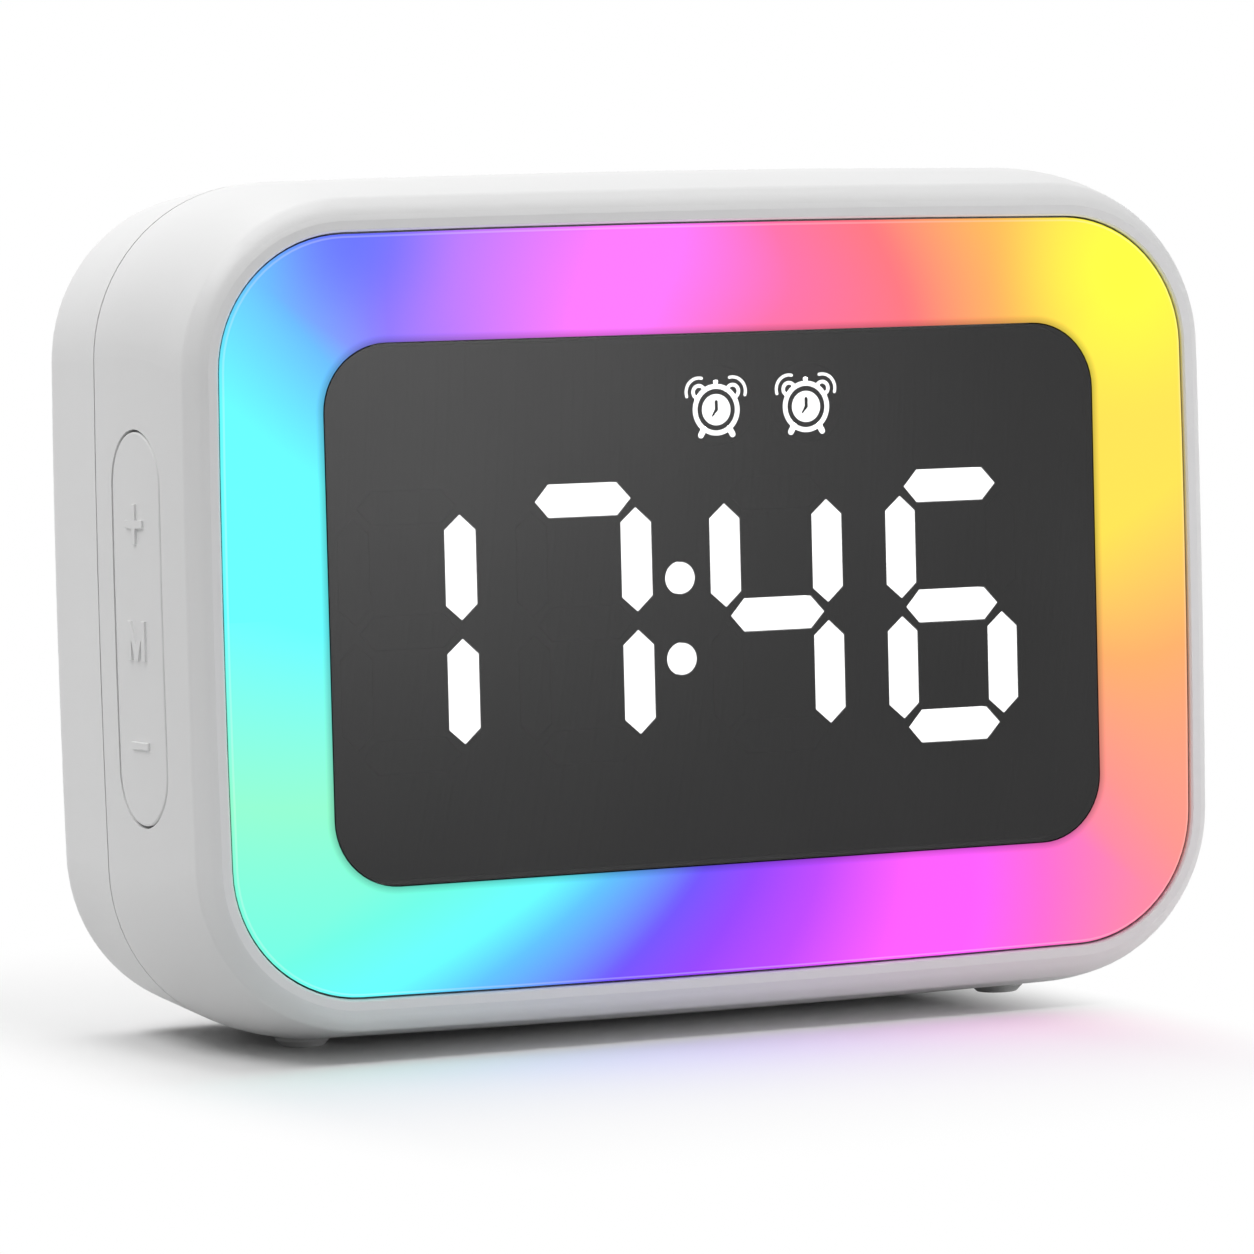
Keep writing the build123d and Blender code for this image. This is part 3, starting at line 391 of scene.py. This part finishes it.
def panelFinish(look):
    material, wire, place = newPaint("litPanel")
    colours = borderColours(wire, place, look)
    grain = noise(wire, place, look["grainScale"])
    facing = 0.0 - axisOf(wire, wire.node("ShaderNodeTexCoord", out="Normal"), 1)
    front = ranged(wire, facing, *look["sides"])  # the sides stay dark in the gap
    # painted highlight: the glow turns paler where the edge begins to roll
    edge = ranged(wire, facing, *look["highlightStart"]) * ranged(wire, facing, *look["highlightEnd"])
    lit = mixColours(wire, look["paintedHighlight"] * edge, colours, grey(1.0))
    # painted shade beside the window
    lit = mixColours(wire, paintedWindowShade(wire, place, look["shade"]), lit, grey(0.0))
    surfaced(wire, {
        "Base Color": mixColours(wire, look["baseShare"], colours, grey(look["base"])),
        "Roughness": uneven(look, grain),
        "Specular IOR Level": look["specular"],
        "Emission Color": mixColours(wire, front, grey(0.0), lit),
        "Emission Strength": look["glow"],
        "Normal": bumped(wire, grain, look["grainDepth"]),
    })
    return material


# smoked lens and what glows behind it

lensLook = {
    "alpha": 0.86, "printDepth": 0.5,
    "tone": 0.06, "spread": 0.02, "roughness": 0.24, "swing": 0.08, "specular": 0.36,
    "smearScale": 35, "speckScale": 5000, "speckDepth": 0.0006,
}
digitLook = {
    "glow": 9.4, "dark": (0.96, 0.96, 0.96), "light": (1.0, 1.0, 1.0),
    "cloudScale": 300, "roughness": 0.55, "swing": 0.1,
}


def lensFinish(look):
    material, wire, place = newPaint("smokedLens")
    smear = noise(wire, place, look["smearScale"], detail=4.0)
    speck = noise(wire, place, look["speckScale"], detail=1.0)
    # smoke is printed on the front only
    smoke = wire.math("LESS_THAN", axisOf(wire, place, 1), displayFront + look["printDepth"] * mm)
    surfaced(wire, {
        "Base Color": mixColours(wire, smear, *tones(look)),
        "Roughness": uneven(look, smear),
        "Normal": bumped(wire, speck, look["speckDepth"]),
        "Alpha": look["alpha"] * smoke,
        "Specular IOR Level": look["specular"],
    })
    material.surface_render_method = "BLENDED"
    return material


def glowFinish(name, look):
    material, wire, place = newPaint(name)
    cloud = noise(wire, place, look["cloudScale"])
    shade = mixColours(wire, cloud, *tones(look))
    surfaced(wire, {
        "Base Color": shade,
        "Roughness": uneven(look, cloud),
        "Emission Color": shade,
        "Emission Strength": look["glow"],
    })
    return material


slotLooks = {
    "shell_white": (mouldedFinish, {
        "tone": 0.9, "spread": 0.006, "roughness": 0.44, "grainDepth": 0.006, "specular": 0.42,
        "crease": {"start": 0.3, "end": 2.9, "lift": 0.5}}),
    "grille_white": (mouldedFinish, {
        "tone": 0.89, "spread": 0.008, "roughness": 0.4, "grainDepth": 0.008}),
    "digit_off": (mouldedFinish, {"tone": 0.07, "roughness": 0.6}),
    "box_black": (mouldedFinish, {"tone": 0.06, "roughness": 0.6}),
    "reflector_white": (mouldedFinish, {"tone": 0.94, "roughness": 0.5}),
    "led_white": (mouldedFinish, {
        "dark": (0.93, 0.9, 0.78), "light": (0.97, 0.95, 0.86), "roughness": 0.35}),
    "foot_rubber": (mouldedFinish, {
        "tone": 0.75, "roughness": 0.82, "grainScale": 1500, "grainDepth": 0.03, "specular": 0.3}),
    "switch_black": (mouldedFinish, {"tone": 0.14, "roughness": 0.45}),
    "basket_black": (mouldedFinish, {"tone": 0.12, "roughness": 0.42, "grainDepth": 0.012}),
    "ferrite": (mouldedFinish, {
        "tone": 0.2, "spread": 0.04, "roughness": 0.65, "grainScale": 1200, "grainDepth": 0.03}),
    "cone_paper": (mouldedFinish, {
        "tone": 0.17, "spread": 0.04, "roughness": 0.85, "grainScale": 900, "grainDepth": 0.06}),
    "surround_rubber": (mouldedFinish, {"tone": 0.1, "roughness": 0.7, "specular": 0.3}),
    "chip_black": (mouldedFinish, {"tone": 0.11, "roughness": 0.5, "grainScale": 3500}),
    "connector_white": (mouldedFinish, {
        "dark": (0.9, 0.88, 0.8), "light": (0.95, 0.93, 0.87), "roughness": 0.4}),
    "cell_can": (mouldedFinish, {
        "dark": (0.12, 0.36, 0.6), "light": (0.16, 0.44, 0.7), "roughness": 0.3, "grainDepth": 0.004}),
    "screw_steel": (brushedFinish, {
        "dark": (0.5, 0.5, 0.52), "light": (0.8, 0.8, 0.82), "drawn": (6, 0.4, 6), "roughness": 0.34}),
    "plate_steel": (brushedFinish, {
        "dark": (0.62, 0.62, 0.58), "light": (0.85, 0.84, 0.8), "drawn": (3, 3, 3), "roughness": 0.36}),
    "socket_steel": (brushedFinish, {
        "dark": (0.7, 0.7, 0.69), "light": (0.88, 0.88, 0.87), "drawn": (0.4, 5, 5), "roughness": 0.26}),
    "board_green": (boardFinish, {
        "dark": (0.03, 0.3, 0.16), "light": (0.05, 0.36, 0.2), "cloudScale": 120, "roughness": 0.375,
        "swing": 0.15, "track": (0.09, 0.46, 0.26), "trackScale": 260, "trackWidth": 0.06,
        "trackDepth": 0.02}),
    "spider_cloth": (weaveFinish, {
        "dark": (0.55, 0.42, 0.2), "light": (0.82, 0.66, 0.38), "roughness": 0.825, "swing": 0.15,
        "threads": 260, "threadDepth": 0.06}),
    "coil_copper": (windingFinish, {
        "dark": (0.6, 0.3, 0.14), "light": (0.93, 0.58, 0.34), "metallic": 0.9, "roughness": 0.375,
        "swing": -0.15, "turns": 800, "turnDepth": 0.05}),
}
finishes = {slot: make(slot, look) for slot, (make, look) in slotLooks.items()}
finishes["milky_panel"] = panelFinish(panelLook)
finishes["smoked_lens"] = lensFinish(lensLook)
finishes["digit_white"] = glowFinish("digitGlow", digitLook)
for entry in frame["record"]["subparts"]:
    mesh = nodes[entry["node"]].data
    mesh.materials.clear()
    mesh.materials.append(finishes[entry["material_slot"]])
print("finishes:", len(finishes))


def addPiece(name, mesh, body, slot, material=None):
    piece = bpy.data.objects.new(name, mesh)
    bpy.context.scene.collection.objects.link(piece)
    mesh.materials.append(material or finishes[slot])
    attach(piece, body)
    return piece


# flat shapes: outlines in millimetres, raised between a near and a far layer

capSteps = 6  # along a bar's round end


def arcPoints(centre, radius, start, end, steps=16):
    turns = [math.radians(start + (end - start) * step / steps) for step in range(steps + 1)]
    x, y = centre
    return [(x + radius * math.cos(turn), y + radius * math.sin(turn)) for turn in turns]


def circle(radius, steps, centre=(0, 0)):
    return arcPoints(centre, radius, 0, 360, steps)[:-1]


def curvedBar(centre, radius, start, end, width):
    half = width / 2
    tipMiddle = arcPoints(centre, radius, end, end, 1)[0]
    tailMiddle = arcPoints(centre, radius, start, start, 1)[0]
    tip = arcPoints(tipMiddle, half, end, end + 180, capSteps)
    tail = arcPoints(tailMiddle, half, start + 180, start + 360, capSteps)
    outer = arcPoints(centre, radius + half, start, end)
    inner = arcPoints(centre, radius - half, end, start)
    return outer[:-1] + tip[:-1] + inner[:-1] + tail[:-1]


def straightBar(start, end, startWidth, endWidth):
    turn = math.degrees(math.atan2(end[1] - start[1], end[0] - start[0]))
    tip = arcPoints(end, endWidth / 2, turn - 90, turn + 90, capSteps)
    tail = arcPoints(start, startWidth / 2, turn + 90, turn + 270, capSteps)
    return tip + tail


def band(bm, first, second, paint=0):
    for index in range(len(first)):
        face = bm.faces.new((first[index - 1], first[index], second[index], second[index - 1]))
        face.material_index = paint


def slab(bm, outline, near, far, paint=0):
    front = [bm.verts.new(near(point)) for point in outline]
    back = [bm.verts.new(far(point)) for point in outline]
    faces = [bm.faces.new(front), bm.faces.new(back[::-1])]
    for index in range(len(outline)):
        faces.append(bm.faces.new((front[index - 1], back[index - 1], back[index], front[index])))
    for face in faces:
        face.material_index = paint
    return faces[0]


def hoop(bm, outer, inner, near, far, paint=0):
    loops = [[bm.verts.new(layer(point)) for point in line]
             for line, layer in ((outer, near), (inner, near), (inner, far), (outer, far))]
    for first, second in zip(loops, loops[1:] + loops[:1]):
        band(bm, first, second, paint)


def closedMesh(name, bm):
    bmesh.ops.recalc_face_normals(bm, faces=bm.faces)
    mesh = bpy.data.meshes.new(name)
    bm.to_mesh(mesh)
    bm.free()
    return mesh


# two alarm signs: a black mask with lit lines, in place of the plain inserts

iconLook = {
    "middles": (0.34, 12.35), "rise": 22.67,  # of the dials, mm
    "maskRadius": 4.8, "maskRise": 0.48,
    "print": 1.26, "hands": 1.21, "mask": 1.32, "back": 2.7,  # depths
    "sunk": 0.05,  # of the lines in the mask
    "ring": (3.1, 2.5), "dial": 1.88, "steps": 64, "dialSteps": 48,
    "ear": (2.24, 2.16), "earRadius": 0.77, "earTurn": (21, 251), "earWidth": 0.44,
    "wave": 1.7, "waveTurn": (77, 197), "waveWidth": 0.36,
    # bars: start, end and the width at each
    "stub": ((0, 2.9), (0, 3.35), 0.5, 0.5), "cap": ((-0.17, 3.36), (0.17, 3.36), 0.32, 0.32),
    "foot": ((1.7, -2.3), (2.1, -3.0), 0.75, 0.75),
    "longHand": ((0, 0), (0, 0.95), 0.4, 0.4), "shortHand": ((0, 0), (-0.55, -0.75), 0.4, 0.16),
}


def litLines(look):
    lines = [circle(look["dial"], look["dialSteps"])]
    for side in (-1, 1):
        ear = (side * look["ear"][0], look["ear"][1])
        for radius, turns, width in ((look["earRadius"], look["earTurn"], look["earWidth"]),
                                     (look["wave"], look["waveTurn"], look["waveWidth"])):
            start, end = turns if side < 0 else (180 - turns[1], 180 - turns[0])
            lines.append(curvedBar(ear, radius, start, end, width))
        start, end, *widths = look["foot"]
        lines.append(straightBar((side * start[0], start[1]), (side * end[0], end[1]), *widths))
    return lines + [straightBar(*look[key]) for key in ("stub", "cap")]


def makeIcons(look):
    black, lit = 0, 1
    bed = look["mask"] + look["sunk"]
    bm = bmesh.new()
    for middle in look["middles"]:
        def layer(depth):
            return lambda point: spot(middle + point[0], depth, look["rise"] + point[1])

        mask = circle(look["maskRadius"], look["steps"], (0, look["maskRise"]))
        slab(bm, mask, layer(look["mask"]), layer(look["back"]), black)
        outer, inner = (circle(radius, look["steps"]) for radius in look["ring"])
        hoop(bm, outer, inner, layer(look["print"]), layer(bed), lit)
        for outline in litLines(look):
            slab(bm, outline, layer(look["print"]), layer(bed), lit)
        for key in ("longHand", "shortHand"):
            slab(bm, straightBar(*look[key]), layer(look["hands"]), layer(bed), black)
    mesh = closedMesh("alarmIcons", bm)
    mesh.materials.append(finishes["box_black"])
    icons = addPiece("alarmIcons", mesh, "clock", "digit_white")
    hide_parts("icon_inserts")


makeIcons(iconLook)

# raised marks on the key strip

markLook = {
    "depth": 15.4, "rises": {"plus": 11.3, "mode": -2.45, "minus": -14.85},
    "halfWidth": 2.3, "halfHeight": 2.35, "stroke": 0.88,
    "proud": 0.29, "sunk": 0.3, "edge": 0.07,
}


def markOutlines(look):
    a, b, s = look["halfWidth"], look["halfHeight"], look["stroke"]
    h = s / 2
    return {
        "plus": [(-a, -h), (-h, -h), (-h, -b), (h, -b), (h, -h), (a, -h),
                 (a, h), (h, h), (h, b), (-h, b), (-h, h), (-a, h)],
        "mode": [(-a, -b), (-a + s, -b), (-a + s, b - 2 * s), (-h, -b), (h, -b), (a - s, b - 2 * s),
                 (a - s, -b), (a, -b), (a, b), (a - s, b), (0, -b + 2 * s), (-a + s, b), (-a, b)],
        "minus": [(-a, -h), (a, -h), (a, h), (-a, h)],
    }


def makeKeyMarks(look):
    strip = nodes["key_strip"].data
    skin = BVHTree.FromPolygons([v.co for v in strip.vertices], [f.vertices for f in strip.polygons])
    outside = Vector((cadBox[0].x - mm, 0, 0))
    bm = bmesh.new()
    for mark, outline in markOutlines(look).items():
        def layer(proud):
            def place(point):
                seen = spot(0, look["depth"] - point[0], look["rises"][mark] + point[1]) + outside
                met = skin.ray_cast(seen, Vector((1, 0, 0)))[0]
                return met - Vector((proud * mm, 0, 0))
            return place
        top = slab(bm, outline, layer(look["proud"]), layer(-look["sunk"]))
        bmesh.ops.bevel(bm, geom=list(top.edges), offset=look["edge"] * mm, segments=2, profile=0.5,
                        affect="EDGES")
    addPiece("keyMarks", closedMesh("keyMarks", bm), "key_strip", "shell_white")


makeKeyMarks(markLook)

# cover screws with cross recesses, and the contacts on the socket's tongue

screwLook = {
    "head": 2.4, "headHeight": 1.8, "round": 0.4, "roundIn": 0.12, "roundDown": 0.1, "steps": 40,
    "shank": 1.3, "tipLength": 1.6, "tip": 0.3,
    "recessReach": 1.4, "recessWidth": 0.62, "recessDepth": 1.1, "taper": 0.7,
}


def makeCoverScrews(look):
    low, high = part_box("cover_screws")
    head = look["head"] * mm
    reach, half = look["recessReach"], look["recessWidth"] / 2
    cross = [(half, half), (reach, half), (reach, -half), (half, -half),
             (half, -reach), (-half, -reach), (-half, -half), (-reach, -half),
             (-reach, half), (-half, half), (-half, reach), (half, reach)]
    seat = high.y - look["headHeight"] * mm
    profile = [(look["head"] - look["round"], high.y),
               (look["head"] - look["roundIn"], high.y - look["roundDown"] * mm),
               (look["head"], high.y - look["round"] * mm),
               (look["head"], seat),
               (look["shank"], seat),
               (look["shank"], low.y + look["tipLength"] * mm),
               (look["tip"], low.y)]
    bm = bmesh.new()
    for x in (low.x + head, high.x - head):
        for z in (low.z + head, high.z - head):
            def loop(points, y, share=1.0):
                return [bm.verts.new((x + a * share * mm, y, z + b * share * mm)) for a, b in points]

            rings = [loop(circle(radius, look["steps"]), y) for radius, y in profile]
            for first, second in zip(rings, rings[1:]):
                band(bm, first, second)
            bm.faces.new(rings[-1])
            mouth = loop(cross, high.y)
            floor = loop(cross, high.y - look["recessDepth"] * mm, look["taper"])
            band(bm, mouth, floor)
            bm.faces.new(floor)
            rims = [bm.edges.get((line[index - 1], line[index]))
                    for line in (rings[0], mouth) for index in range(len(line))]
            bmesh.ops.triangle_fill(bm, edges=rims, use_beauty=True)
    screws = addPiece("coverScrews", closedMesh("coverScrews", bm), "clock", "screw_steel")
    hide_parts("cover_screws")


makeCoverScrews(screwLook)

contactLook = {
    "count": 12, "pitch": 0.5, "width": 0.28, "start": 1.9, "length": 2.6,
    "halfTongue": 0.35, "proud": 0.03, "sunk": 0.05,
    "dark": (0.72, 0.52, 0.22), "light": (0.95, 0.78, 0.42), "drawn": (5, 0.4, 5), "roughness": 0.28,
}


def makeContacts(look):
    low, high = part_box("usb_socket")
    middle = (low.z + high.z) / 2
    half, length = look["width"] / 2, look["length"]
    bm = bmesh.new()
    for index in range(look["count"]):
        x = (index - (look["count"] - 1) / 2) * look["pitch"]
        outline = [(x - half, 0), (x + half, 0), (x + half, length), (x - half, length)]
        for side in (-1, 1):
            def layer(raised):
                z = middle + side * (look["halfTongue"] + raised) * mm
                return lambda at: Vector((at[0] * mm, high.y - (look["start"] + at[1]) * mm, z))

            slab(bm, outline, layer(look["proud"]), layer(-look["sunk"]))
    addPiece("socketContacts", closedMesh("socketContacts", bm), "clock", "socket_steel",
             brushedFinish("contactGold", look))


makeContacts(contactLook)
print("icons, marks, screws and contacts made")


# stage and light

stageLook = {
    "ambient": 0.175,
    "reach": 6.0, "floor": 0.85, "spread": 0.01, "cloudScale": 8, "roughness": 0.9,
    "shownFloor": 0.87,  # linear, what the camera sees
    "fadeMiddle": (-0.015, 0.0), "fadeStart": (0.048, 0.02), "fadeReach": 0.11,  # metres
    "fadeWeight": 4.5,  # shorter to the sides
}


def shownRays(wire):
    # what the camera sees, straight, mirrored or through glass
    camera, glossy, through = (wire.node("ShaderNodeLightPath", out=f"Is {ray} Ray")
                               for ray in ("Camera", "Glossy", "Transmission"))
    return wire.math("MAXIMUM", wire.math("MAXIMUM", camera, glossy), through)


def makeFloor(look):
    mesh = bpy.data.meshes.new("floor")
    reach = look["reach"]
    mesh.from_pydata([(-reach, -reach, 0), (reach, -reach, 0), (reach, reach, 0), (-reach, reach, 0)],
                     [], [(0, 1, 2, 3)])
    floor = bpy.data.objects.new("floor", mesh)
    bpy.context.scene.collection.objects.link(floor)
    material, wire, place = newPaint("paleFloor")
    cloud = noise(wire, place, look["cloudScale"])
    seen = shownRays(wire)
    tone = mixColours(wire, cloud, grey(look["floor"] - look["spread"]), grey(look["floor"]))
    shown = mixColours(wire, seen, tone, (look["shownFloor"],) * 3 + (1.0,))
    paper = wire.node("ShaderNodeBsdfPrincipled", None,
                      {"Base Color": shown, "Roughness": look["roughness"], "Specular IOR Level": 0.0})
    white = wire.node("ShaderNodeEmission", None, {"Color": grey(1.0), "Strength": 1.0})
    # away from the clock the floor runs out to white
    across, along = (beyond(wire, place, axis, look["fadeMiddle"][axis], look["fadeStart"][axis])
                     for axis in (0, 1))
    far = diagonal(wire, across * look["fadeWeight"], along)
    fade = ranged(wire, far, 0.0, look["fadeReach"], shape="SMOOTHSTEP")
    shader = wire.node("ShaderNodeMixShader", None, {0: fade * seen, 1: paper, 2: white})
    wire.node("ShaderNodeOutputMaterial", None, {"Surface": shader})
    mesh.materials.append(material)


def makeWorld(look):
    world = bpy.data.worlds.new("studio")
    world.use_nodes = True
    world.node_tree.nodes.clear()
    wire = Wire(world.node_tree)
    soft = wire.node("ShaderNodeBackground", None, {"Color": grey(1.0), "Strength": look["ambient"]})
    white = wire.node("ShaderNodeBackground", None, {"Color": grey(1.0), "Strength": 1.0})
    mixed = wire.node("ShaderNodeMixShader", None, {0: shownRays(wire), 1: soft, 2: white})
    wire.node("ShaderNodeOutputWorld", None, {"Surface": mixed})
    bpy.context.scene.world = world


lamps = {
    "topBack": {"place": (-0.1, 0.15, 0.9), "aim": (0, 0, 0.05), "size": 0.7, "power": 4.6},
    "leftTop": {"place": (-0.58, -0.08, 0.8), "aim": (0, 0, 0.05), "size": 0.35, "power": 3.4},
    "rightNear": {"place": (0.4, -0.3, 0.06), "aim": (0, 0, 0.05), "size": 0.15, "power": 0.7},
    "rightFront": {"place": (0.28, -0.95, 0.13), "aim": (0, 0, 0.06), "size": 0.25, "power": 1.0},
}
# what the lit border throws on the floor: x and power of each hue
borderGlow = {"ahead": 0.004, "rise": 0.03, "size": 0.02, "hues": {
    "aqua": (-0.05, 0.0008), "indigo": (-0.025, 0.004), "purple": (0.0, 0.003), "pink": (0.03, 0.003),
    "blush": (0.055, 0.003)}}
for hue, (x, power) in borderGlow["hues"].items():
    lamps[hue + "Glow"] = {"place": (x, displayFront - borderGlow["ahead"], borderGlow["rise"]),
                           "aim": (x, -1.0, borderGlow["rise"]), "size": borderGlow["size"],
                           "power": power, "colour": panelLook["hues"][hue]}


def hangLamp(name, setup):
    lamp = bpy.data.lights.new(name, "AREA")
    lamp.shape = "SQUARE"
    lamp.size = setup["size"]
    lamp.energy = setup["power"]
    lamp.color = toLinear(setup.get("colour", (1.0, 1.0, 1.0)))[:3]
    holder = bpy.data.objects.new(name, lamp)
    holder.visible_camera = False
    place = Vector(setup["place"])
    holder.location = place
    holder.rotation_euler = (Vector(setup["aim"]) - place).to_track_quat("-Z", "Y").to_euler()
    bpy.context.scene.collection.objects.link(holder)


makeFloor(stageLook)
makeWorld(stageLook)
for name, setup in lamps.items():
    hangLamp(name, setup)
bpy.context.scene.view_settings.view_transform = "Standard"
print("stage lit")
